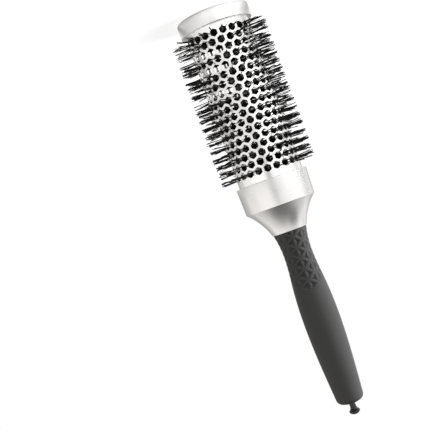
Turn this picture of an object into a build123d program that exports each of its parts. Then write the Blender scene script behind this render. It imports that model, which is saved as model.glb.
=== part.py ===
from build123d import *
from math import cos, pi, radians, sin, tan
import os

os.makedirs("parts", exist_ok=True)

# Round barrel brush, in millimetres. It stands on its end cap: Z runs up the brush's own axis,
# from the cap's flat end at zero to the pick's knob at the handle's tail. -Y is the front.

# Fits between pieces, as gaps on the radius
fixed_fit = 0.05  # pieces that are pressed or bonded together
running_fit = 0.08  # the pick in its guide
free_gap = 0.3  # the pick where nothing guides it

# Perforated barrel
barrel_diameter = 45.0  # over the corners of its flats, of which there is one for each hole in a row
barrel_wall = 0.8
hole_rows = 18
holes_per_row = 22
hole_across_flats = 4.75
row_pitch = 5.6
band_at_cap = 5.8  # from the cap's rim to the centres of the first row of holes
band_at_collar = 7.0  # from the centres of the last row to the collar's rim

# End cap and the plug behind it
cap_height = 10.4
cap_wall = 2.65
cap_floor = 3.0
cap_edge_radius = 2.0
dish_diameter = 36.0  # shallow dish in the flat end
dish_depth = 0.6
plug_thickness = 5.0
plug_floor = 2.0  # plug left below the core wire's end

# Core wire and bristles
wire_diameter = 4.0
wire_in_handle = 15.0
root_diameter = 14.0  # where the roots of the bristles are packed round the wire
bristle_diameter = 67.4  # over the bristle tips
bristle_tip_width = 1.0
bristle_thickness = 1.6  # along the axis, for a strand and for its slice of roots

# Collar between barrel and handle
collar_band_height = 18.5
collar_wall = 2.35
collar_taper = 0.6  # the band narrows by this on the radius, towards the handle
collar_grip_depth = 8.0  # length of barrel inside the collar
flare_height = 18.8
flare_hollow = 1.45  # how far the flare's line bows in from straight
flare_set_back = 1.2  # the collar's bore ends this far before the flare starts
neck_wall = 2.0
neck_lip = 0.35  # the collar's neck stands proud of the grip by this

# Seat in the barrel's end, under the collar
seat_flange = 3.0
seat_foot = 3.0  # disc at the handle core's foot, which sits on the flange

# Grip: widths over the rubber, and their distances from the collar's neck
grip_length = 124.3
grip_neck_diameter = 23.7
waist_diameter = 19.75
waist_distance = 17.0
shoulder_diameter = 23.3
shoulder_distance = 40.5
belly_diameter = 25.1
belly_distance = 61.0
tail_diameter = 19.1
tail_round_height = 4.8  # from where the sides start to turn in, up to the end
tail_edge_radius = 4.0
tail_edge_turn = 62.0  # degrees from the side round to the domed end
neck_slope = -0.27  # change of radius with height, where the outline leaves the neck
tail_slope = -0.08

# Handle core, pick guide and pick
core_diameter = 13.0
tail_cover = 4.0  # rubber beyond the core's end
guide_diameter = 8.0
guide_length = 14.0
pick_diameter = 4.2
pick_depth = 75.0  # from the handle's end down to the pick's point
pick_taper_length = 40.0
pick_point_diameter = 1.2
knob_diameter = 7.9
knob_height = 7.8  # from the handle's end to the knob's end
knob_stem = 1.8  # plain stem before the knob flares
knob_rim_height = 5.2
knob_hollow = 0.75  # how far the knob's flare bows in
knob_end_dome = 2.0

# Radii and heights worked out from the sizes above
flat_ratio = cos(pi / holes_per_row)  # from the barrel's radius at a corner to that at a flat
barrel_radius = barrel_diameter / 2
barrel_bore = barrel_radius - barrel_wall
sleeve_bore = barrel_radius + fixed_fit  # cap and collar, where they hold the barrel
cap_radius = sleeve_bore + cap_wall
wire_radius = wire_diameter / 2
wire_bore = wire_radius + fixed_fit
root_radius = root_diameter / 2
plug_radius = barrel_bore * flat_ratio - fixed_fit
collar_radius = sleeve_bore + collar_wall
flare_radius = collar_radius - collar_taper
neck_radius = grip_neck_diameter / 2 + neck_lip
neck_bore = neck_radius - neck_wall
core_radius = core_diameter / 2
pick_radius = pick_diameter / 2
knob_radius = knob_diameter / 2

first_row = cap_height + band_at_cap
last_row = first_row + (hole_rows - 1) * row_pitch
roots_start = first_row - bristle_thickness / 2
roots_end = last_row + bristle_thickness / 2
collar_start = last_row + band_at_collar
barrel_end = collar_start + collar_grip_depth
flange_top = barrel_end + seat_flange
foot_top = flange_top + seat_foot
flare_start = collar_start + collar_band_height
neck_height = flare_start + flare_height
tail_height = neck_height + grip_length
core_end = tail_height - tail_cover
wire_start = cap_floor + plug_floor
wire_end = neck_height + wire_in_handle
pick_point = tail_height - pick_depth
hole_angle = 360 / holes_per_row


def row_height(row):
    """Height of a row of holes, counted from 0 at the cap."""
    return first_row + row * row_pitch


def row_turn(row):
    """Each row is turned half a hole from its neighbours."""
    return hole_angle / 2 * ((row + 1) % 2)


def row_planes(height, turn, distance):
    """Planes that face outwards, one at each hole of a row, at a distance from the axis."""
    planes = []
    for hole in range(holes_per_row):
        angle = radians(turn + hole * hole_angle)
        outwards = Vector(sin(angle), -cos(angle), 0)
        centre = outwards * distance + Vector(0, 0, height)
        planes.append(Plane(origin=centre, x_dir=(0, 0, 1), z_dir=outwards))
    return planes


def finish(part, name):
    part.label = name
    export_step(part, f"parts/{name}.step")


# End cap: a shallow cup over the barrel's free end, with a dished flat face to stand on
with BuildPart() as end_cap:
    with BuildSketch(Plane.XZ):
        with BuildLine():
            Polyline(
                (0, dish_depth),
                (dish_diameter / 2, dish_depth),
                (dish_diameter / 2 + dish_depth, 0),
                (cap_radius, 0),
                (cap_radius, cap_height),
                (sleeve_bore, cap_height),
                (sleeve_bore, cap_floor),
                (0, cap_floor),
                close=True,
            )
        make_face()
    revolve(axis=Axis.Z)
    outer_edges = end_cap.edges().filter_by(GeomType.CIRCLE).sort_by(SortBy.RADIUS)[-2:]
    fillet(outer_edges.sort_by(Axis.Z)[0], radius=cap_edge_radius)
finish(end_cap.part, "end_cap")

# End plug: stands on the cap's floor inside the barrel, and its boss holds the core wire's end
with BuildPart() as end_plug:
    with BuildSketch(Plane.XY.offset(cap_floor)):
        Circle(plug_radius)
    extrude(amount=plug_thickness)
    with BuildSketch(Plane.XY.offset(cap_floor)):
        Circle(root_radius)
    extrude(amount=roots_start - cap_floor)
    with BuildSketch(Plane.XY.offset(wire_start)):
        Circle(wire_bore)
    extrude(amount=roots_start - wire_start, mode=Mode.SUBTRACT)
finish(end_plug.part, "end_plug")

# Barrel: a thin tube in narrow flats, with a honeycomb of hexagonal holes, points along the axis.
# In one row the holes lie on the flats, in the next they lie on the corners between them.
with BuildPart() as barrel:
    with BuildSketch(Plane.XY.offset(cap_floor)):
        RegularPolygon(radius=barrel_radius, side_count=holes_per_row, rotation=-90 + hole_angle / 2)
        RegularPolygon(
            radius=barrel_bore,
            side_count=holes_per_row,
            rotation=-90 + hole_angle / 2,
            mode=Mode.SUBTRACT,
        )
    extrude(amount=barrel_end - cap_floor)
    hole_planes = []
    for row in range(hole_rows):
        hole_planes += row_planes(row_height(row), row_turn(row), barrel_bore - barrel_wall)
    with BuildSketch(*hole_planes):
        RegularPolygon(radius=hole_across_flats / 2, side_count=6, major_radius=False)
    extrude(amount=3 * barrel_wall, mode=Mode.SUBTRACT)
finish(barrel.part, "barrel")

# Core wire: runs from the end plug, through the packed roots and the seat, into the handle
with BuildPart() as core_wire:
    with BuildSketch(Plane.XY.offset(wire_start)):
        Circle(wire_radius)
    extrude(amount=wire_end - wire_start)
finish(core_wire.part, "core_wire")

# Bristles: one flat, tapered strand out through each hole, fused to that row's slice of the packed
# roots. The ring is made once, then set at the height and turn of each row of holes.
root_width = 2 * root_radius * tan(pi / holes_per_row)
with BuildPart() as bristle_ring:
    with BuildSketch(Plane.XY.offset(-bristle_thickness / 2)):
        RegularPolygon(
            radius=root_radius,
            side_count=holes_per_row,
            major_radius=False,
            rotation=-90 + hole_angle / 2,
        )
        with PolarLocations(0, holes_per_row, start_angle=-90):
            Polygon(
                (root_radius, -root_width / 2),
                (bristle_diameter / 2, -bristle_tip_width / 2),
                (bristle_diameter / 2, bristle_tip_width / 2),
                (root_radius, root_width / 2),
                align=None,
            )
        Circle(wire_bore, mode=Mode.SUBTRACT)
    extrude(amount=bristle_thickness)
for row in range(hole_rows):
    with BuildPart() as bristle_row:
        add(bristle_ring.part.moved(Location((0, 0, row_height(row)), (0, 0, row_turn(row)))))
    finish(bristle_row.part, f"bristle_row_{row + 1:02d}")

# Barrel seat: plugs the barrel's other end, with a flange that the barrel butts against
with BuildPart() as barrel_seat:
    with BuildSketch(Plane.XY.offset(roots_end)):
        Circle(root_radius)
    extrude(amount=collar_start - roots_end)
    with BuildSketch(Plane.XY.offset(collar_start)):
        Circle(plug_radius)
    extrude(amount=barrel_end - collar_start)
    with BuildSketch(Plane.XY.offset(barrel_end)):
        Circle(barrel_radius)
    extrude(amount=seat_flange)
    with BuildSketch(Plane.XY.offset(roots_end)):
        Circle(wire_bore)
    extrude(amount=flange_top - roots_end, mode=Mode.SUBTRACT)
finish(barrel_seat.part, "barrel_seat")

# Collar: a slightly tapered band, then a hollow flare down to the handle's neck
with BuildPart() as collar:
    with BuildSketch(Plane.XZ):
        with BuildLine():
            band = Line((collar_radius, collar_start), (flare_radius, flare_start))
            flare = SagittaArc(band @ 1, (neck_radius, neck_height), flare_hollow)
            neck_face = Line(flare @ 1, (neck_bore, neck_height))
            bore_end = (sleeve_bore, flare_start - flare_set_back)
            inside = SagittaArc(neck_face @ 1, bore_end, -flare_hollow, mode=Mode.PRIVATE)
            Polyline(neck_face @ 1, inside @ 0.5, bore_end, (sleeve_bore, collar_start), band @ 0)
        make_face()
    revolve(axis=Axis.Z)
finish(collar.part, "collar")

# Handle core: foot on the seat's flange, neck through the collar, then the grip's long spine.
# The core wire is bonded in at the foot, and the pick slides in from the tail.
with BuildPart() as handle_core:
    with BuildSketch(Plane.XY.offset(flange_top)):
        Circle(barrel_radius)
    extrude(amount=seat_foot)
    with BuildSketch(Plane.XY.offset(foot_top)):
        Circle(neck_bore - fixed_fit)
    extrude(amount=neck_height - foot_top)
    with BuildSketch(Plane.XY.offset(neck_height)):
        Circle(core_radius)
    extrude(amount=core_end - neck_height)
    with BuildSketch(Plane.XY.offset(flange_top)):
        Circle(wire_bore)
    extrude(amount=wire_end + free_gap - flange_top, mode=Mode.SUBTRACT)
    with BuildSketch(Plane.XY.offset(core_end)):
        Circle(pick_radius + free_gap)
    extrude(amount=pick_point - free_gap - core_end, mode=Mode.SUBTRACT)
    with BuildSketch(Plane.XY.offset(core_end)):
        Circle(guide_diameter / 2 + fixed_fit)
    extrude(amount=-guide_length, mode=Mode.SUBTRACT)
finish(handle_core.part, "handle_core")

# Grip: rubber sleeve, waisted near the neck, full in the hand and domed at the tail
with BuildPart() as grip:
    with BuildSketch(Plane.XZ):
        with BuildLine():
            outline = Spline(
                (grip_neck_diameter / 2, neck_height),
                (waist_diameter / 2, neck_height + waist_distance),
                (shoulder_diameter / 2, neck_height + shoulder_distance),
                (belly_diameter / 2, neck_height + belly_distance),
                (tail_diameter / 2, tail_height - tail_round_height),
                tangents=[(neck_slope, 1), (tail_slope, 1)],
            )
            tail_edge = JernArc(outline @ 1, outline % 1, tail_edge_radius, tail_edge_turn)
            dome = TangentArc((0, tail_height), tail_edge @ 1, tangent=(1, 0))
            Polyline(dome @ 0, (0, neck_height), outline @ 0)
        make_face()
    revolve(axis=Axis.Z)
    with BuildSketch(Plane.XY.offset(neck_height)):
        Circle(core_radius + fixed_fit)
    extrude(amount=core_end - neck_height, mode=Mode.SUBTRACT)
    with BuildSketch(Plane.XY.offset(core_end)):
        Circle(pick_radius + free_gap)
    extrude(amount=tail_cover, mode=Mode.SUBTRACT)
finish(grip.part, "grip")

# Pick guide: sleeve pressed into the core's end, which the pick slides in
with BuildPart() as pick_guide:
    with BuildSketch(Plane.XY.offset(core_end - guide_length)):
        Circle(guide_diameter / 2)
        Circle(pick_radius + running_fit, mode=Mode.SUBTRACT)
    extrude(amount=guide_length)
finish(pick_guide.part, "pick_guide")

# Pick: tapered point deep in the handle, plain shaft through the guide, flared knob outside
with BuildPart() as pick:
    with BuildSketch(Plane.XZ):
        with BuildLine():
            point = Line((0, pick_point), (pick_point_diameter / 2, pick_point))
            taper = Line(point @ 1, (pick_radius, pick_point + pick_taper_length))
            stem = Line(taper @ 1, (pick_radius, tail_height + knob_stem))
            knob_flare = SagittaArc(stem @ 1, (knob_radius, tail_height + knob_rim_height), knob_hollow)
            knob_rim = Line(knob_flare @ 1, (knob_radius, tail_height + knob_height - knob_end_dome))
            knob_dome = TangentArc((0, tail_height + knob_height), knob_rim @ 1, tangent=(1, 0))
            Line(knob_dome @ 0, point @ 0)
        make_face()
    revolve(axis=Axis.Z)
finish(pick.part, "pick")
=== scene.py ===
from itertools import count
from math import atan2, cos, degrees, pi, radians, sin, sqrt, tan

import bmesh
import bpy
import numpy as np
from mathutils import Matrix, Vector


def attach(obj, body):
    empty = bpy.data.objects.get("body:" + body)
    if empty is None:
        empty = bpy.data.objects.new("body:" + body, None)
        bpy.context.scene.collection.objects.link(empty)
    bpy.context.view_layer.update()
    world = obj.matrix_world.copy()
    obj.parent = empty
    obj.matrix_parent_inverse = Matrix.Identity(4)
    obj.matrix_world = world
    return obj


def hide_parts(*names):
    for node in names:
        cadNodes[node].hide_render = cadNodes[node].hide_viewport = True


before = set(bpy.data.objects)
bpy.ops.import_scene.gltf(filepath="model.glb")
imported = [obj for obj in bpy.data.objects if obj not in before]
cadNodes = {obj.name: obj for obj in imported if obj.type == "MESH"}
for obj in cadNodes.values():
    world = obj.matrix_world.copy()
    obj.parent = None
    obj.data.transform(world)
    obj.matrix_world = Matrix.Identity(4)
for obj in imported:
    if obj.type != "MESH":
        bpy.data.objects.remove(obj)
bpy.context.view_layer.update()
mm = 0.001
sharpAngle = radians(32)  # edges that turn by more than this stay sharp
print("frame loaded:", len(cadNodes), "nodes")


class Wire:  # an output socket that can stand in a sum
    def __init__(self, board, socket):
        self.board = board
        self.socket = socket

    def __add__(self, other):
        return self.board.maths("ADD", self, other)

    def __sub__(self, other):
        return self.board.maths("SUBTRACT", self, other)

    def __rsub__(self, other):
        return self.board.maths("SUBTRACT", other, self)

    def __mul__(self, other):
        return self.board.maths("MULTIPLY", self, other)

    def __truediv__(self, other):
        return self.board.maths("DIVIDE", self, other)

    def __rtruediv__(self, other):
        return self.board.maths("DIVIDE", other, self)

    def __mod__(self, other):
        return self.board.maths("FLOORED_MODULO", self, other)

    def __pow__(self, other):
        return self.board.maths("POWER", self, other)

    __radd__ = __add__
    __rmul__ = __mul__


class Board:  # a node tree, and the ways of adding to it
    def __init__(self, tree):
        self.tree = tree

    def add(self, kind, settings=None, sockets=None):
        node = self.tree.nodes.new(kind)
        for name, value in (settings or {}).items():
            setattr(node, name, value)
        for name, value in (sockets or {}).items():
            if isinstance(value, Wire):
                self.tree.links.new(value.socket, node.inputs[name])
            else:
                node.inputs[name].default_value = value
        return node

    def out(self, kind, settings=None, sockets=None, output=0):
        return Wire(self, self.add(kind, settings, sockets).outputs[output])

    def maths(self, operation, *values):
        return self.out("ShaderNodeMath", {"operation": operation}, dict(enumerate(values)))

    def split(self, vector):
        node = self.add("ShaderNodeSeparateXYZ", None, {"Vector": vector})
        return [Wire(self, node.outputs[axis]) for axis in "XYZ"]

    def join(self, x, y, z):
        return self.out("ShaderNodeCombineXYZ", None, {"X": x, "Y": y, "Z": z})

    def noise(self, vector, detail=2.0, roughness=0.5):
        return self.out("ShaderNodeTexNoise", None,
                        {"Vector": vector, "Scale": 1.0, "Detail": detail, "Roughness": roughness})

    def speckle(self, spot, scale, detail=2.0, roughness=0.5):  # noise at one scale, or at one for each axis
        factors = scale if isinstance(scale, tuple) else (scale, scale, scale)
        stretched = self.out("ShaderNodeVectorMath", {"operation": "MULTIPLY"}, {0: spot, 1: factors})
        return self.noise(stretched, detail, roughness)

    def fade(self, value, low, high, start=0.0, end=1.0):
        return self.out("ShaderNodeMapRange", {"interpolation_type": "SMOOTHSTEP"},
                        {"Value": value, "From Min": low, "From Max": high, "To Min": start, "To Max": end})

    def blend(self, factor, first, second):
        return self.out("ShaderNodeMix", {"data_type": "RGBA"}, {0: factor, 6: first, 7: second}, 2)

    def bump(self, strength, distance, height):
        return self.out("ShaderNodeBump", None,
                        {"Strength": strength, "Distance": distance, "Height": height})


def grey(level, warmth=0.0):
    return (level * (1 + warmth), level, level * (1 - warmth), 1.0)


def newMaterial(name):
    made = bpy.data.materials.new(name)
    made.use_nodes = True
    made.node_tree.nodes.clear()
    board = Board(made.node_tree)
    return made, board, board.out("ShaderNodeTexCoord", None, None, "Object")


def material(recipe):
    made, board, spot = newMaterial(recipe.__name__)
    shader = board.out("ShaderNodeBsdfPrincipled", None, recipe(board, spot))
    board.add("ShaderNodeOutputMaterial", None, {"Surface": shader})
    return made


def mottled(board, noise, finish):  # the two tones of a finish, mixed over the span of a noise
    return board.blend(board.fade(noise, *finish["span"]), finish["dark"], finish["light"])


satin = {"dark": grey(0.8256, 0.012), "light": grey(0.86, 0.012), "span": (0.3, 0.7), "clouds": 160,
         "lines": (90, 90, 5200), "bump": 0.35, "lineDepth": 0.008 * mm,
         "roughness": 0.22, "roughLines": 0.08, "roughClouds": 0.04}


def satinSilver(board, spot):
    lines = board.speckle(spot, satin["lines"], detail=3.0)  # turned lines run round the piece
    clouds = board.speckle(spot, satin["clouds"], detail=4.0)
    return {"Base Color": mottled(board, clouds, satin), "Metallic": 1.0,
            "Roughness": satin["roughness"] + lines * satin["roughLines"] + clouds * satin["roughClouds"],
            "Normal": board.bump(satin["bump"], satin["lineDepth"], lines)}


sheet = {"dark": grey(0.9603, 0.012), "light": grey(0.99, 0.012), "span": (0.35, 0.7), "grain": 420,
         "draw": (260, 14), "bump": 0.3, "drawDepth": 0.006 * mm, "grainShare": 0.4,
         "roughness": 0.13, "roughGrain": 0.1}


def barrelMetal(board, spot):
    x, y, z = board.split(spot)
    turn = board.maths("ARCTAN2", x, y)
    fine = board.join(turn * sheet["grain"], z * sheet["grain"], 0.0)
    grain = board.noise(fine, detail=5.0, roughness=0.65)
    across, along = sheet["draw"]
    draw = board.noise(board.join(turn * across, z * along, 0.0))  # faint lines along the tube
    return {"Base Color": mottled(board, grain, sheet), "Metallic": 1.0,
            "Roughness": sheet["roughness"] + grain * sheet["roughGrain"],
            "Normal": board.bump(sheet["bump"], sheet["drawDepth"], draw + grain * sheet["grainShare"])}


steel = {"dark": grey(0.06), "light": grey(0.12), "span": (0.3, 0.7), "marks": (900, 900, 160),
         "roughness": 0.4, "roughMarks": 0.15}


def steelWire(board, spot):
    marks = board.speckle(spot, steel["marks"], detail=4.0)
    return {"Base Color": mottled(board, marks, steel), "Metallic": 1.0,
            "Roughness": steel["roughness"] + marks * steel["roughMarks"]}


nylon = {"dark": grey(0.015), "light": grey(0.028), "span": (0.35, 0.65), "shade": 420,
         "roughness": 0.34, "roughShade": 0.1, "specular": 0.28}


def blackNylon(board, spot):
    shade = board.speckle(spot, nylon["shade"], detail=3.0)
    return {"Base Color": mottled(board, shade, nylon),
            "Roughness": nylon["roughness"] + shade * nylon["roughShade"],
            "Specular IOR Level": nylon["specular"]}


moulding = {"dark": grey(0.017), "light": grey(0.028), "patches": 90, "grain": 2600, "bump": 0.4,
            "grainDepth": 0.02 * mm, "roughness": 0.42, "roughGrain": 0.16}


def blackPlastic(board, spot):
    grain = board.speckle(spot, moulding["grain"], detail=3.0)
    patches = board.speckle(spot, moulding["patches"])
    return {"Base Color": board.blend(patches, moulding["dark"], moulding["light"]),
            "Roughness": moulding["roughness"] + grain * moulding["roughGrain"],
            "Normal": board.bump(moulding["bump"], moulding["grainDepth"], grain)}


# pitShade is painted shade: the darker colour given to the pits between the petals
rubber = {"dark": grey(0.087, 0.02), "light": grey(0.099, 0.01), "pitShade": grey(0.0348, 0.02),
          "span": (0.3, 0.7), "handling": (70, 70, 38), "grain": 3400, "bump": 0.5,
          "grainDepth": 0.025 * mm, "roughness": 0.5, "roughHandling": 0.1, "roughGrain": 0.08}


def gripRubber(board, spot):
    grain = board.speckle(spot, rubber["grain"], detail=3.0, roughness=0.6)
    handling = board.speckle(spot, rubber["handling"], detail=3.0)
    pressed = board.out("ShaderNodeAttribute", {"attribute_name": "pressed"}, None, "Fac")  # 1 in the pits
    roughness = rubber["roughness"] + handling * rubber["roughHandling"] + grain * rubber["roughGrain"]
    # The pits take the pitShade colour, which is painted shade in the hollows of the petal pattern
    return {"Base Color": board.blend(pressed, mottled(board, handling, rubber), rubber["pitShade"]),
            "Roughness": roughness, "Normal": board.bump(rubber["bump"], rubber["grainDepth"], grain)}


gloss = {"dark": grey(0.022), "light": grey(0.034), "span": (0.3, 0.7), "swirl": (260, 260, 90),
         "roughness": 0.3, "roughSwirl": 0.12}


def pickPlastic(board, spot):
    swirl = board.speckle(spot, gloss["swirl"], detail=3.0)
    return {"Base Color": mottled(board, swirl, gloss),
            "Roughness": gloss["roughness"] + swirl * gloss["roughSwirl"]}


finishes = {recipe.__name__: material(recipe) for recipe in (
    satinSilver, barrelMetal, steelWire, blackNylon, blackPlastic, gripRubber, pickPlastic)}
print("materials:", ", ".join(finishes))


def place(mesh, finish, replaced, body="brush"):
    piece = bpy.data.objects.new(mesh.name, mesh)
    bpy.context.scene.collection.objects.link(piece)
    mesh.set_sharp_from_angle(angle=sharpAngle)
    dress(piece, finish, replaced, body)


def dress(piece, finish, replaced, body="brush"):
    piece.data.materials.clear()
    piece.data.materials.append(finishes[finish])
    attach(piece, body)
    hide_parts(replaced)


# Corners are (radius, height) or (radius, height, rounding), in mm. A rounding takes a step for each
# stepTurn degrees, and at least fewest steps.
def softened(corners, stepTurn=12, fewest=3):
    line = []
    for index, corner in enumerate(corners):
        here = Vector(corner[:2])
        if len(corner) < 3:
            line.append(here)
            continue
        before = (Vector(corners[index - 1][:2]) - here).normalized()
        after = (Vector(corners[(index + 1) % len(corners)][:2]) - here).normalized()
        half = before.angle(after) / 2
        reach = corner[2] / tan(half)
        centre = here + (before + after).normalized() * corner[2] / sin(half)
        start, end = here + before * reach - centre, here + after * reach - centre
        turn = atan2(start.x * end.y - start.y * end.x, start.dot(end))
        steps = max(fewest, round(degrees(abs(turn)) / stepTurn))
        line += [centre + Matrix.Rotation(turn * step / steps, 2) @ start for step in range(steps + 1)]
    return line


def bowed(start, end, bow, steps):  # the points between the ends of an arc, bowed to the left of its way
    start, end = Vector(start), Vector(end)
    chord = end - start
    radius = (chord.length / 2) ** 2 / (2 * bow) + bow / 2
    side = Vector((-chord.y, chord.x)).normalized()
    centre = (start + end) / 2 + side * (bow - radius)
    first, last = start - centre, end - centre
    turn = atan2(first.x * last.y - first.y * last.x, first.dot(last))
    return [tuple(centre + Matrix.Rotation(turn * step / steps, 2) @ first) for step in range(1, steps)]


def turned(name, line, around=192):  # a solid turned about the axis from its outline in mm, as a mesh
    shape = bmesh.new()
    rings = []
    for radius, height in line:
        if radius < 1e-6:  # on the axis
            rings.append([shape.verts.new((0, 0, height * mm))])
        else:
            rings.append([shape.verts.new((radius * mm * sin(2 * pi * step / around),
                                           -radius * mm * cos(2 * pi * step / around), height * mm))
                          for step in range(around)])
    for ring, other in zip(rings, rings[1:] + rings[:1]):
        if len(ring) == len(other) == 1:
            continue
        for step in range(around):
            follow = (step + 1) % around
            corners = [ring[step % len(ring)], ring[follow % len(ring)],
                       other[follow % len(other)], other[step % len(other)]]
            shape.faces.new(list(dict.fromkeys(corners)))
    bmesh.ops.recalc_face_normals(shape, faces=shape.faces)
    for face in shape.faces:
        face.smooth = True
    mesh = bpy.data.meshes.new(name)
    shape.to_mesh(mesh)
    shape.free()
    return mesh


# End cap
cap = {"radius": 25.2, "bore": 22.55, "height": 10.4, "floor": 3.0, "edge": 1.5, "rim": 0.7,
       "boreEdge": 0.15, "dish": 18.0, "dishDepth": 0.6, "dishFoot": 0.4, "dishEdge": 0.35}
capLine = softened([
    (0, cap["dishDepth"]), (cap["dish"], cap["dishDepth"], cap["dishFoot"]),
    (cap["dish"] + cap["dishDepth"], 0, cap["dishEdge"]),
    (cap["radius"], 0, cap["edge"]), (cap["radius"], cap["height"], cap["rim"]),
    (cap["bore"], cap["height"], cap["boreEdge"]), (cap["bore"], cap["floor"]), (0, cap["floor"])])
place(turned("endCap", capLine), "satinSilver", "end_cap")

# Collar
collar = {"start": 118.4, "top": 24.9, "edge": 136.9, "edgeRadius": 24.3, "neck": 155.7, "neckRadius": 12.2,
          "bow": 1.45, "flareSteps": 28, "bore": 22.55, "boreEnd": 135.7, "inside": (14.95, 146.42),
          "neckBore": 10.2, "rounding": 0.35, "neckEdge": 0.3, "boreEdge": 0.15}
flareStart = (collar["edgeRadius"], collar["edge"])
flareEnd = (collar["neckRadius"], collar["neck"])
collarLine = softened([
    (collar["top"], collar["start"], collar["rounding"]), (*flareStart, collar["rounding"]),
    *bowed(flareStart, flareEnd, collar["bow"], collar["flareSteps"]), (*flareEnd, collar["neckEdge"]),
    (collar["neckBore"], collar["neck"], collar["neckEdge"]), collar["inside"],
    (collar["bore"], collar["boreEnd"]), (collar["bore"], collar["start"], collar["boreEdge"])])
place(turned("collarFlare", collarLine), "satinSilver", "collar")
print("cap and collar turned")

# Barrel: one cell of the sheet round each hole, and a tile of the plain band at each end
sleeve = {"radius": 22.5, "wall": 0.55, "columns": 22, "rows": 18, "rowPitch": 5.6, "firstRow": 16.2,
          "bottom": 3.0, "top": 126.4, "acrossFlats": 4.75, "cornerCut": 0.2, "lip": 0.06, "weld": 0.01}
pitch = 2 * pi * sleeve["radius"] / sleeve["columns"]
lastRow = sleeve["firstRow"] + (sleeve["rows"] - 1) * sleeve["rowPitch"]
# How far a cell's corners lie from its centre along the axis: those at its tips, and those at its sides
tipY = (pitch ** 2 / 4 + sleeve["rowPitch"] ** 2) / (2 * sleeve["rowPitch"])
sideY = sleeve["rowPitch"] - tipY


def holeOutline(inset, depth):  # a hexagon with its corners cut, as 12 points
    flat = sleeve["acrossFlats"] / 2 + inset
    corner = flat / cos(pi / 6)
    points = []
    for step in range(6):
        angle = pi / 2 + step * pi / 3
        along = Vector((cos(angle), sin(angle), 0)) * (corner - sleeve["cornerCut"] * tan(pi / 6))
        across = Vector((-sin(angle), cos(angle), 0)) * sleeve["cornerCut"]
        points += [along - across + Vector((0, 0, depth)), along + across + Vector((0, 0, depth))]
    return points


def flatMesh(name, loops, faces):
    mesh = bpy.data.meshes.new(name)
    mesh.from_pydata([Vector(point) * mm for loop in loops for point in loop], [], faces)
    return bpy.data.objects.new(name, mesh)


def sheetCell():
    wall = sleeve["wall"]
    edge = [(0, tipY), (-pitch / 2, sideY), (-pitch / 2, -sideY),
            (0, -tipY), (pitch / 2, -sideY), (pitch / 2, sideY)]
    loops = [[(x, y, 0) for x, y in edge], holeOutline(sleeve["lip"], 0), holeOutline(0, -sleeve["lip"]),
             holeOutline(0, -wall), [(x, y, -wall) for x, y in edge]]
    ring = 12  # points of a hole's outline
    front, back, backEdge = 6, 6 + 2 * ring, 6 + 3 * ring  # where these loops start in the list of points
    faces = []
    for corner in range(6):
        after = (corner + 1) % 6
        left, right, follow = 2 * corner, 2 * corner + 1, 2 * after
        faces += [(corner, front + right, front + left), (corner, after, front + follow, front + right),
                  (backEdge + corner, back + left, back + right),
                  (backEdge + corner, back + right, back + follow, backEdge + after)]
        for level in (front, front + ring):
            for first, second in ((left, right), (right, follow)):
                faces.append((level + first, level + second, level + ring + second, level + ring + first))
    return flatMesh("sheetCell", loops, faces)


def bandTile(name, reach, way):
    outline = [(-pitch / 2, sideY), (0, tipY), (pitch / 2, sideY),
               (pitch / 2, reach), (0, reach), (-pitch / 2, reach)]
    loops = [[(x * way, y * way, depth) for x, y in outline] for depth in (0, -sleeve["wall"])]
    # two faces each for the outside, the inside and the rim; points 6 to 11 are those of the inside
    faces = [(0, 1, 4, 5), (1, 2, 3, 4), (6, 11, 10, 7), (7, 10, 9, 8), (5, 4, 10, 11), (4, 3, 9, 10)]
    return flatMesh(name, loops, faces)


def newTree(name, inputs):
    tree = bpy.data.node_groups.new(name, "GeometryNodeTree")
    tree.interface.new_socket("Geometry", in_out="OUTPUT", socket_type="NodeSocketGeometry")
    for label, kind in inputs.items():
        tree.interface.new_socket(label, in_out="INPUT", socket_type="NodeSocket" + kind)
    board = Board(tree)
    source = board.add("NodeGroupInput")
    return board, {label: Wire(board, source.outputs[label]) for label in inputs}


def endTree(board, geometry, finish):
    smooth = board.out("GeometryNodeSetShadeSmooth", None, {"Geometry": geometry, "Shade Smooth": True})
    real = board.out("GeometryNodeRealizeInstances", None, {"Geometry": smooth})
    coated = board.out("GeometryNodeSetMaterial", None, {"Geometry": real, "Material": finish})
    board.add("NodeGroupOutput", None, {"Geometry": coated})


def runTree(board, name, values):
    carrier = bpy.data.objects.new(name, bpy.data.meshes.new(name))
    bpy.context.scene.collection.objects.link(carrier)
    modifier = carrier.modifiers.new(name, "NODES")
    modifier.node_group = board.tree
    for item in board.tree.interface.items_tree:
        if item.in_out == "INPUT":
            modifier[item.identifier] = values[item.name]
    result = carrier.evaluated_get(bpy.context.evaluated_depsgraph_get())
    mesh = bpy.data.meshes.new_from_object(result)
    carrier.modifiers.remove(modifier)
    carrier.data = mesh
    mesh.name = name
    return carrier


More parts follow.
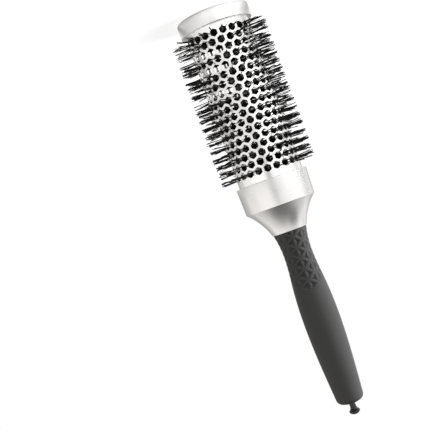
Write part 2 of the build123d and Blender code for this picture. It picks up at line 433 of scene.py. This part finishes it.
def honeycombTree():
    board, given = newTree("honeycombSleeve", {
        "Cell": "Object", "Top Tile": "Object", "Bottom Tile": "Object", "Columns": "Int", "Rows": "Int",
        "Pitch": "Float", "Row Pitch": "Float", "First Row": "Float", "Radius": "Float", "Weld": "Float",
        "Finish": "Material"})
    index = board.out("GeometryNodeInputIndex")

    def laid(tile, amount, row):  # copies of a tile on the flat sheet
        column = index % given["Columns"]
        shift = (row + 1) % 2 * 0.5  # in holes
        along = given["First Row"] + row * given["Row Pitch"]
        spot = board.join((column + shift) * given["Pitch"], along, 0.0)
        points = board.out("GeometryNodePoints", None, {"Count": amount, "Position": spot})
        shape = board.out("GeometryNodeObjectInfo", None, {"Object": tile}, "Geometry")
        copies = board.out("GeometryNodeInstanceOnPoints", None, {"Points": points, "Instance": shape})
        return board.out("GeometryNodeRealizeInstances", None, {"Geometry": copies})

    rowOfCell = board.maths("FLOOR", index / given["Columns"])
    flat = board.add("GeometryNodeJoinGeometry")
    for layer in (laid(given["Cell"], given["Columns"] * given["Rows"], rowOfCell),
                  laid(given["Top Tile"], given["Columns"], given["Rows"] - 1),
                  laid(given["Bottom Tile"], given["Columns"], index * 0)):
        board.tree.links.new(layer.socket, flat.inputs["Geometry"])
    x, y, depth = board.split(board.out("GeometryNodeInputPosition"))
    angle = x / given["Radius"]  # the flat sheet is rolled about the axis
    reach = given["Radius"] + depth
    bent = board.join(board.maths("SINE", angle) * reach, board.maths("COSINE", angle) * reach * -1, y)
    wrapped = board.out("GeometryNodeSetPosition", None,
                        {"Geometry": Wire(board, flat.outputs[0]), "Position": bent})
    welded = board.out("GeometryNodeMergeByDistance", None, {"Geometry": wrapped, "Distance": given["Weld"]})
    endTree(board, welded, given["Finish"])
    return board


tiles = [sheetCell(), bandTile("topTile", sleeve["top"] - lastRow, 1),
         bandTile("bottomTile", sleeve["firstRow"] - sleeve["bottom"], -1)]
barrelSleeve = runTree(honeycombTree(), "barrelSleeve", {
    "Cell": tiles[0], "Top Tile": tiles[1], "Bottom Tile": tiles[2], "Columns": sleeve["columns"],
    "Rows": sleeve["rows"], "Pitch": pitch * mm, "Row Pitch": sleeve["rowPitch"] * mm,
    "First Row": sleeve["firstRow"] * mm, "Radius": sleeve["radius"] * mm, "Weld": sleeve["weld"] * mm,
    "Finish": finishes["barrelMetal"]})
barrelSleeve.data.set_sharp_from_angle(angle=sharpAngle)
dress(barrelSleeve, "barrelMetal", "barrel")
for tile in tiles:
    bpy.data.objects.remove(tile)
print("barrel rolled:", len(barrelSleeve.data.polygons), "faces")

# Bristles: a tuft of crimped filaments out through each hole, from the core wire to the tips. The filaments
# stand in locks, and are stout inside the barrel, so that little light comes through it. These are inputs
# of the tuft tree, and those without a decimal point are whole numbers.
tufts = {"Filaments": 13, "Lock": 4, "Steps": 16, "Seed": 41, "Root": 2.05 * mm, "Straight To": 20.5 * mm,
         "Wall": 22.5 * mm, "Past Wall": 0.5 * mm, "Tip": 33.45 * mm, "Bundle": 1.6 * mm,
         "Scatter": 0.36 * mm, "Lock Lean": 0.95 * mm, "Lean": 0.45 * mm, "Stray": 0.9 * mm,
         "Shorter": 2.4 * mm, "Crimp Depth": 0.05 * mm, "Crimp Length": 3.3 * mm, "Width": 0.41 * mm,
         "Gather": 0.3, "Pinch": 0.5, "Stout": 5.0, "Taper": 0.12, "Fewest": 0.5,
         "Thin Turn": radians(38.0), "Far Turn": radians(155.0)}
# Rows that are thin on one side, with the share of their filaments that they keep there. The far rows show
# through the thinnest of them, and are thin at the far side. A span holds the cosines of the angles from the
# middle of that side where the thinning starts and is full. Inside the barrel the filaments of the far rows
# are thin too, over farInnerSpan, and those of the slender rows are nowhere stout.
thinning = {"rows": {3: 0.08, 5: 0.08, 8: 0.08, 14: 0.35, 17: 0.35}, "span": (0.66, 0.82),
            "farRows": {2: 0.05, 4: 0.05, 7: 0.05}, "farSpan": (0.82, 0.93), "farInnerSpan": (0.42, 0.64),
            "slender": (3, 5, 8)}
lockNumbers = 16  # numbers kept for the locks of one tuft
seedStep = 100


def tuftTree():
    kinds = {label: "Int" if isinstance(value, int) else "Float" for label, value in tufts.items()}
    board, given = newTree("tuftRow", {**kinds, "Row Height": "Float", "Turn": "Float", "Tufts": "Int",
                                       "Thin Share": "Float", "Far Share": "Float", "Finish": "Material"})
    line = board.out("GeometryNodeCurvePrimitiveLine", None, {"Start": (0, 0, 0), "End": (1, 0, 0)})
    line = board.out("GeometryNodeResampleCurve", {"mode": "COUNT"}, {"Curve": line, "Count": given["Steps"]})
    many = board.add("GeometryNodeDuplicateElements", {"domain": "SPLINE"},
                     {"Geometry": line, "Amount": given["Tufts"] * given["Filaments"]})
    strands = Wire(board, many.outputs["Geometry"])
    strand = Wire(board, many.outputs["Duplicate Index"])
    tuft = board.maths("FLOOR", strand / given["Filaments"])
    lock = tuft * lockNumbers + board.maths("FLOOR", strand % given["Filaments"] / given["Lock"])
    draws = count(seedStep, seedStep)

    def chance(low, high, group):  # a random number, the same for all of a tuft, a lock or a strand
        return board.out("FunctionNodeRandomValue", {"data_type": "FLOAT"},
                         {2: low, 3: high, "ID": group, "Seed": given["Seed"] + next(draws)}, 1)

    travel = board.out("GeometryNodeSplineParameter") * (given["Steps"] - 1)
    atRoot = board.maths("LESS_THAN", travel, 0.5)  # 1 at the first point of a strand
    tip = given["Tip"] - given["Shorter"] * chance(0, 1, strand) ** 2
    outer = given["Straight To"] + (tip - given["Straight To"]) * (travel - 1) / (given["Steps"] - 2)
    reach = atRoot * given["Root"] + (1 - atRoot) * outer
    beyond = board.maths("MAXIMUM", (reach - given["Wall"]) / (given["Tip"] - given["Wall"]), 0.0)
    inside = board.maths("MINIMUM", reach / given["Wall"] * given["Gather"] + (1 - given["Gather"]), 1.0)

    wave = board.maths("SINE", reach * 2 * pi / given["Crimp Length"] + chance(0, 2 * pi, strand))
    crimp = wave * given["Crimp Depth"] * (1 - atRoot)
    sway = chance(0, 2 * pi, strand)
    lockTurn, strandTurn = chance(0, 2 * pi, lock), chance(0, 2 * pi, strand)
    lockOut = board.maths("SQRT", chance(0, 1, lock)) * given["Bundle"] * inside
    strandOut = chance(0, 1, strand) * given["Scatter"] * inside * (1 - beyond * given["Pinch"])

    def aside(direction):  # how far a strand stands off its hole's axis: by its lock, in it, crimped, leaning
        lean = (chance(-1, 1, tuft) * given["Lean"] + chance(-1, 1, lock) * given["Lock Lean"]
                + chance(-1, 1, strand) ** 3 * given["Stray"])
        return (lockOut * board.maths(direction, lockTurn) + strandOut * board.maths(direction, strandTurn)
                + crimp * board.maths(direction, sway) + beyond * lean)

    across, along = aside("COSINE"), aside("SINE")
    angle = given["Turn"] + tuft * 2 * pi / given["Tufts"]
    sine, cosine = board.maths("SINE", angle), board.maths("COSINE", angle)
    spot = board.join(sine * reach + cosine * across, sine * across - cosine * reach,
                      given["Row Height"] + along)
    bent = board.out("GeometryNodeSetPosition", None, {"Geometry": strands, "Position": spot})

    sideways = board.maths("COSINE", angle - given["Thin Turn"])
    behind = board.maths("COSINE", angle - given["Far Turn"])
    thinned = 1 - board.fade(sideways, *thinning["span"]) * (1 - given["Thin Share"])
    thinnedFar = 1 - board.fade(behind, *thinning["farSpan"]) * (1 - given["Far Share"])
    stout = given["Stout"] * (1 - board.fade(behind, *thinning["farInnerSpan"]) * (1 - given["Far Share"]))
    share = chance(given["Fewest"], 1, tuft) * thinned * thinnedFar
    spare = board.maths("GREATER_THAN", strand % given["Filaments"] + 1, share * given["Filaments"])
    kept = board.out("GeometryNodeDeleteGeometry", {"domain": "CURVE"},
                     {"Geometry": bent, "Selection": spare})
    thickness = board.fade(reach, given["Straight To"], given["Wall"] + given["Past Wall"], stout, 1)
    ring = board.out("GeometryNodeCurvePrimitiveCircle", None,
                     {"Resolution": 4, "Radius": given["Width"] / 2})
    solid = board.out("GeometryNodeCurveToMesh", None, {
        "Curve": kept, "Profile Curve": ring, "Scale": thickness * (1 - beyond * given["Taper"]),
        "Fill Caps": True})
    endTree(board, solid, given["Finish"])
    return board


tuftBoard = tuftTree()
tuftFaces = 0
for row in range(sleeve["rows"]):
    rowName = f"{row + 1:02d}"
    tuftRow = runTree(tuftBoard, "tuftRow" + rowName, {
        **tufts, "Row Height": (sleeve["firstRow"] + row * sleeve["rowPitch"]) * mm,
        "Turn": pi / sleeve["columns"] * ((row + 1) % 2), "Tufts": sleeve["columns"],
        "Thin Share": thinning["rows"].get(row + 1, 1.0), "Far Share": thinning["farRows"].get(row + 1, 1.0),
        "Stout": 1.0 if row + 1 in thinning["slender"] else tufts["Stout"],
        "Seed": tufts["Seed"] + row, "Finish": finishes["blackNylon"]})
    dress(tuftRow, "blackNylon", "bristle_row_" + rowName)
    tuftFaces += len(tuftRow.data.polygons)
print("bristles set:", tuftFaces, "faces")

# Grip: radii and heights of the outline, and the petals pressed into its upper part
grip = {"outline": [(11.85, 155.7), (9.875, 172.7), (11.65, 196.2), (12.55, 216.7), (9.55, 275.2)],
        "neck": 155.7, "neckSlope": -0.27, "tailSlope": -0.08, "end": 280.0, "edge": 4.0, "edgeTurn": 62.0,
        "coreBore": 6.55, "coreEnd": 276.0, "pickBore": 2.4, "lip": 0.25, "margin": 1.0,
        "around": 264, "fineStep": 0.3, "coarseStep": 1.5, "edgeSteps": 8, "domeSteps": 7}
petals = {"columns": 10, "height": 7.6, "first": 160.05, "turn": -1.2, "depth": 0.95, "pit": 1.15,
          "crown": 0.2, "crownWidth": 0.13, "reach": 39.0, "point": 4.5, "fade": 3.5, "neckFade": 1.2,
          "sideFade": 0.35}


def flowing(points, startSlope, endSlope):  # a smooth curve through (radius, height) points
    radius, height = np.array(points).T
    gap = np.diff(height)
    rise = np.diff(radius) / gap
    last = len(height) - 1
    table = np.zeros((last + 1, last + 1))
    wanted = np.zeros(last + 1)
    table[0, 0] = table[last, last] = 1
    wanted[0], wanted[last] = startSlope, endSlope
    for index in range(1, last):
        table[index, index - 1:index + 2] = gap[index], 2 * (gap[index - 1] + gap[index]), gap[index - 1]
        wanted[index] = 3 * (gap[index] * rise[index - 1] + gap[index - 1] * rise[index])
    slope = np.linalg.solve(table, wanted)

    def at(level):
        index = min(max(int(np.searchsorted(height, level)) - 1, 0), last - 1)
        part = (level - height[index]) / gap[index]
        bend = slope[index] - rise[index], rise[index] - slope[index + 1]
        return (radius[index] * (1 - part) + radius[index + 1] * part
                + gap[index] * part * (1 - part) * (bend[0] * (1 - part) + bend[1] * part))

    return at


# For arrays of angles and heights: how far the surface stands out or in, in mm, and how much of a pit it is,
# from 0 to 1
def petalRelief(angle, level):
    step = petals["height"]
    width = step * sqrt(3) / 2
    x = (angle - radians(petals["turn"])) / (2 * pi) * petals["columns"] * width
    y = level - petals["first"]
    distances = []
    column = np.round(x / width)
    for side in range(-2, 3):
        centre = (column + side) * width
        offset = np.where((column + side) % 2 == 0, 0.0, step / 2)
        row = np.round((y - offset) / step)
        for up in range(-2, 3):
            distances.append(np.hypot(x - centre, y - (row + up) * step - offset))
    distances = np.sort(np.array(distances), axis=0)
    beyond = distances[3] - step  # a petal lies in four of the circles round the centres, a pit in three
    pit = np.clip(beyond / petals["pit"], 0, 1)
    crown = np.clip(-beyond / (step * petals["crownWidth"]), 0, 1)
    relief = petals["crown"] * (crown * (2 - crown) - 1) - petals["depth"] * pit * (2 - pit)
    lowest = grip["neck"] + petals["reach"] + petals["point"] * np.cos(2 * angle)
    faded = np.clip((lowest - level) / petals["fade"], 0, 1)
    faded *= np.clip((level - grip["neck"]) / petals["neckFade"], 0, 1)
    faded *= 1 - petals["sideFade"] + petals["sideFade"] * np.cos(2 * angle)  # shallow by the mould's seams
    return relief * faded, pit * faded


def gripMesh():
    sideAt = flowing(grip["outline"], grip["neckSlope"], grip["tailSlope"])
    sideEnd = grip["outline"][-1]
    fineEnd = grip["neck"] + petals["reach"] + petals["point"] + grip["margin"]
    levels = list(np.arange(grip["neck"], fineEnd, grip["fineStep"]))
    levels += list(np.linspace(fineEnd, sideEnd[1], round((sideEnd[1] - fineEnd) / grip["coarseStep"])))
    outline = [(sideAt(level), level) for level in levels]
    onward = Vector((grip["tailSlope"], 1)).normalized()
    centre = Vector(sideEnd) + Vector((-onward.y, onward.x)) * grip["edge"]
    for step in range(1, grip["edgeSteps"] + 1):
        turn = radians(grip["edgeTurn"]) * step / grip["edgeSteps"]
        outline.append(tuple(centre + Matrix.Rotation(turn, 2) @ (Vector(sideEnd) - centre)))
    edgeRadius = outline[-1][0]
    drop = grip["end"] - outline[-1][1]
    domeRadius = (edgeRadius ** 2 + drop ** 2) / (2 * drop)
    for step in range(1, grip["domeSteps"] + 1):
        radius = edgeRadius + (grip["pickBore"] + grip["lip"] - edgeRadius) * step / grip["domeSteps"]
        outline.append((radius, grip["end"] - domeRadius + sqrt(domeRadius ** 2 - radius ** 2)))
    outline += [(grip["pickBore"], outline[-1][1] - grip["lip"]), (grip["pickBore"], grip["coreEnd"]),
                (grip["coreBore"], grip["coreEnd"]), (grip["coreBore"], grip["neck"])]
    mesh = turned("gripSleeve", outline, grip["around"])
    spots = np.zeros(len(mesh.vertices) * 3)
    mesh.vertices.foreach_get("co", spots)
    spots = spots.reshape(-1, 3)
    radius = np.hypot(spots[:, 0], spots[:, 1])
    level = spots[:, 2] / mm
    outside = (level < fineEnd) & (radius / mm > grip["coreBore"] + grip["margin"])
    relief, pit = petalRelief(np.arctan2(spots[:, 0], -spots[:, 1]), level)
    spots[:, :2] *= (1 + np.where(outside, relief, 0) * mm / radius)[:, None]
    mesh.vertices.foreach_set("co", spots.ravel())
    # the pit share, by which the grip's colour is darkened in the pits as painted shade
    mesh.attributes.new("pressed", "FLOAT", "POINT").data.foreach_set("value", np.where(outside, pit, 0))
    mesh.update()
    return mesh


place(gripMesh(), "gripRubber", "grip")
print("grip moulded")

# Pick, drawn out of the handle by its knob
pick = {"point": 205.0, "pointRadius": 0.6, "pointEdge": 0.35, "radius": 2.1, "taper": 40.0,
        "handleEnd": 280.0, "stem": 1.8, "rim": 5.1, "rimEdge": 0.1, "height": 7.8, "dome": 2.3,
        "knobRadius": 3.75, "bow": 0.5, "steps": 12, "around": 96}
stemTop = (pick["radius"], pick["handleEnd"] + pick["stem"])
knobRim = (pick["knobRadius"], pick["handleEnd"] + pick["rim"])
domeStart = pick["handleEnd"] + pick["height"] - pick["dome"]
domePoints = []
for step in range(1, pick["steps"]):
    turn = pi / 2 * step / pick["steps"]
    domePoints.append((pick["knobRadius"] * cos(turn), domeStart + pick["dome"] * sin(turn)))
pickLine = softened([
    (0, pick["point"]), (pick["pointRadius"], pick["point"], pick["pointEdge"]),
    (pick["radius"], pick["point"] + pick["taper"]), stemTop,
    *bowed(stemTop, knobRim, pick["bow"], pick["steps"]), (*knobRim, pick["rimEdge"]),
    (pick["knobRadius"], domeStart), *domePoints, (0, pick["handleEnd"] + pick["height"])])
place(turned("sectioningPick", pickLine, pick["around"]), "pickPlastic", "pick", "pick")
print("pick turned")

# Finishes of the CAD's own pieces. The first five are hidden in the brush, and stay as the CAD has them.
cadFinishes = {"end_plug": "blackPlastic", "core_wire": "steelWire", "barrel_seat": "blackPlastic",
               "handle_core": "blackPlastic", "pick_guide": "blackPlastic",
               "end_cap": "satinSilver", "collar": "satinSilver", "barrel": "barrelMetal",
               "grip": "gripRubber", "pick": "pickPlastic"}
for nodeName, node in cadNodes.items():
    for slotOfNode in node.material_slots:
        slotOfNode.material = finishes[cadFinishes.get(nodeName, "blackNylon")]

# Floor and backdrop. Rays by way of shiny surfaces see patches on them, bright or dark. A patch has a
# direction, the cosines of the angles to it where the patch starts and is full, and a strength.


def rays(board):  # 1 for the camera's own rays, and 1 for those by way of a shiny or clear surface
    paths = board.add("ShaderNodeLightPath")
    own, glossy, clear = [Wire(board, paths.outputs[name])
                          for name in ("Is Camera Ray", "Is Glossy Ray", "Is Transmission Ray")]
    return own, board.maths("MAXIMUM", glossy, clear) * (1 - own)


def roundPatch(board, facing, direction, edge, core, strength):  # a round patch, faded at its edge
    nearness = board.out("ShaderNodeVectorMath", {"operation": "DOT_PRODUCT"},
                         {0: facing, 1: Vector(direction).normalized()}, "Value")
    return board.fade(nearness, edge, core, 0, strength)


def uprightPatch(board, facing, *shape):  # a patch of any height, faded at its sides
    x, y = board.split(facing)[:2]
    level = board.out("ShaderNodeVectorMath", {"operation": "NORMALIZE"}, {0: board.join(x, y, 0.0)})
    return roundPatch(board, level, *shape)


# A reach is from the axis: where a change starts, and where it is full
ground = {"dark": 0.7252, "light": 0.74, "clouds": 6, "size": 6.0, "drop": 0.02 * mm,
          "glow": 0.8, "glowReach": (26 * mm, 75 * mm), "frontReach": (60 * mm, 160 * mm),
          "sheen": 0.66, "capContactShade": 0.45, "sheenReach": (24 * mm, 36 * mm),
          "patches": {"window": ((-0.743, -0.669, 0), 0.6, 0.99, 0.432),
                      "front": ((-0.25, -0.97, 0), 0.6, 0.97, 0.24),
                      "windowFrame": ((-0.996, 0.087, 0), 0.866, 0.978, 0.336),
                      "screen": ((0.978, 0.208, 0), 0.956, 0.9945, 0.336)}}


def whiteFloor():
    made, board, spot = newMaterial("whiteFloor")
    clouds = board.speckle(spot, ground["clouds"], detail=3.0)
    tone = board.blend(clouds, grey(ground["dark"]), grey(ground["light"]))
    paint = board.out("ShaderNodeBsdfDiffuse", None, {"Color": tone})
    x, y = board.split(spot)[:2]
    away = board.maths("SQRT", x * x + y * y)
    seen, mirrored = rays(board)
    patches = {name: uprightPatch(board, spot, *shape) for name, shape in ground["patches"].items()}
    front = patches["front"] * board.fade(away, *ground["frontReach"], 1, 0)
    sheen = ground["sheen"] + patches["window"] + front - patches["windowFrame"] - patches["screen"]
    # Near the cap the sheen is dimmed: a painted contact shadow on the floor, seen in the cap's reflection
    sheen = sheen * board.fade(away, *ground["sheenReach"], ground["capContactShade"], 1)
    glow = board.fade(away, *ground["glowReach"], ground["glow"], 1)  # the shadow by the cap stays
    light = board.out("ShaderNodeEmission", None,
                      {"Color": grey(1.0), "Strength": seen * glow + mirrored * sheen})
    board.add("ShaderNodeOutputMaterial", None,
              {"Surface": board.out("ShaderNodeAddShader", None, {0: paint, 1: light})})
    return made


floorMesh = bpy.data.meshes.new("floor")
half = ground["size"] / 2
under = -ground["drop"]  # just clear of the cap's rim, which stands on it
corners = [(-half, -half, under), (half, -half, under), (half, half, under), (-half, half, under)]
floorMesh.from_pydata(corners, [], [(0, 1, 2, 3)])
floor = bpy.data.objects.new("floor", floorMesh)
bpy.context.scene.collection.objects.link(floor)
floorMesh.materials.append(whiteFloor())

# A span is of a direction's Z, or of its X for the warm tint: where a change starts, and where it is full
backdrop = {"wall": 0.96, "least": 0.04, "sideSpan": (0.4, 0.7), "ceiling": 0.3, "ceilingSpan": (0.55, 0.8),
            "fill": 0.262, "fillAbove": 0.12, "fillSpan": (0.1, 0.9), "warmth": 0.02, "warmSpan": (-0.5, 0.7),
            "patches": {"window": ((-0.91, -0.42, 0), 0.57, 0.966, 0.24),
                        "farWindow": ((0.616, -0.788, 0), 0.79, 0.97, 0.192),
                        "windowFrame": ((-0.951, 0.309, 0), 0.961, 0.996, 0.192),
                        "screen": ((0.72, 0.69, 0), 0.9, 0.975, 0.42),
                        "back": ((0, 1, 0), 0.766, 0.94, 0.45)},
            "roundPatches": {"top": ((0.03, -0.1, 0.99), 0.8, 1.0, 0.5),
                             "sideTop": ((-0.42, -0.29, 0.86), 0.88, 0.99, 0.45),
                             "eye": ((0.09, -1, 0), 0.974, 0.9986, 0.52)}}


def paintWalls(board):
    facing = board.out("ShaderNodeTexCoord", None, None, "Generated")
    east, height = board.split(facing)[::2]
    patches = {name: uprightPatch(board, facing, *shape) for name, shape in backdrop["patches"].items()}
    shades = {name: roundPatch(board, facing, *shape) for name, shape in backdrop["roundPatches"].items()}
    sides = patches["window"] + patches["farWindow"] - patches["windowFrame"] - patches["screen"]
    sides = sides * board.fade(height, *backdrop["sideSpan"], 1, 0)
    ceiling = board.fade(height, *backdrop["ceilingSpan"], 0, backdrop["ceiling"])
    topShade = board.maths("MAXIMUM", shades["top"], shades["sideTop"])
    tone = backdrop["wall"] + sides - ceiling - topShade - shades["eye"] - patches["back"]
    tone = board.maths("MAXIMUM", tone, backdrop["least"])
    fill = backdrop["fill"] * board.fade(height, *backdrop["fillSpan"], 1, backdrop["fillAbove"])
    seen, mirrored = rays(board)
    strength = seen + mirrored * tone + (1 - seen - mirrored) * fill
    warm = mirrored * board.fade(east, *backdrop["warmSpan"])
    tint = board.blend(warm, grey(1.0), grey(1.0, backdrop["warmth"]))
    light = board.out("ShaderNodeBackground", None, {"Color": tint, "Strength": strength})
    board.add("ShaderNodeOutputWorld", None, {"Surface": light})


world = bpy.data.worlds.new("paleStudio")
bpy.context.scene.world = world
world.use_nodes = True
world.node_tree.nodes.clear()
paintWalls(Board(world.node_tree))

# The lamp, which shiny surfaces don't mirror
key = {"power": 12.8, "size": 0.6, "place": (-1.05, 0.02, 0.3), "target": (0, 0, 0.15),
       "colour": (0.97, 0.985, 1.0)}
keyLight = bpy.data.lights.new("keyLamp", "AREA")
keyLight.shape = "DISK"
keyLight.energy = key["power"]
keyLight.size = key["size"]
keyLight.color = key["colour"]
keyLamp = bpy.data.objects.new("keyLamp", keyLight)
keyLamp.location = key["place"]
keyLamp.visible_camera = False
keyLamp.visible_glossy = False
beam = Vector(key["place"]) - Vector(key["target"])
keyLamp.rotation_euler = beam.to_track_quat("Z", "Y").to_euler()
bpy.context.scene.collection.objects.link(keyLamp)

# The camera, upside down and tilted, so that the picture has the cap above and the handle below
eye = {"distance": 0.609, "lens": 75.2, "beside": 0.0441, "height": 0.1287, "tilt": 19.84, "swing": -3.2,
       "sensor": 36.0, "nearest": 0.01, "farthest": 50.0}
tilt = radians(eye["tilt"])
right = Vector((-cos(tilt), 0, sin(tilt)))
up = Vector((-sin(tilt), 0, -cos(tilt)))
back = Vector((0, -1, 0))
pose = Matrix((right, up, back)).transposed().to_4x4()
pose.translation = (eye["beside"], -eye["distance"], eye["height"])
cameraData = bpy.data.cameras.new("photoCamera")
cameraData.lens = eye["lens"]
cameraData.sensor_width = eye["sensor"]
cameraData.clip_start = eye["nearest"]
cameraData.clip_end = eye["farthest"]
camera = bpy.data.objects.new("photoCamera", cameraData)
camera.matrix_world = Matrix.Rotation(radians(eye["swing"]), 4, "Z") @ pose
bpy.context.scene.collection.objects.link(camera)
bpy.context.scene.camera = camera
bpy.context.scene.view_settings.view_transform = "Standard"
print("studio and camera set")
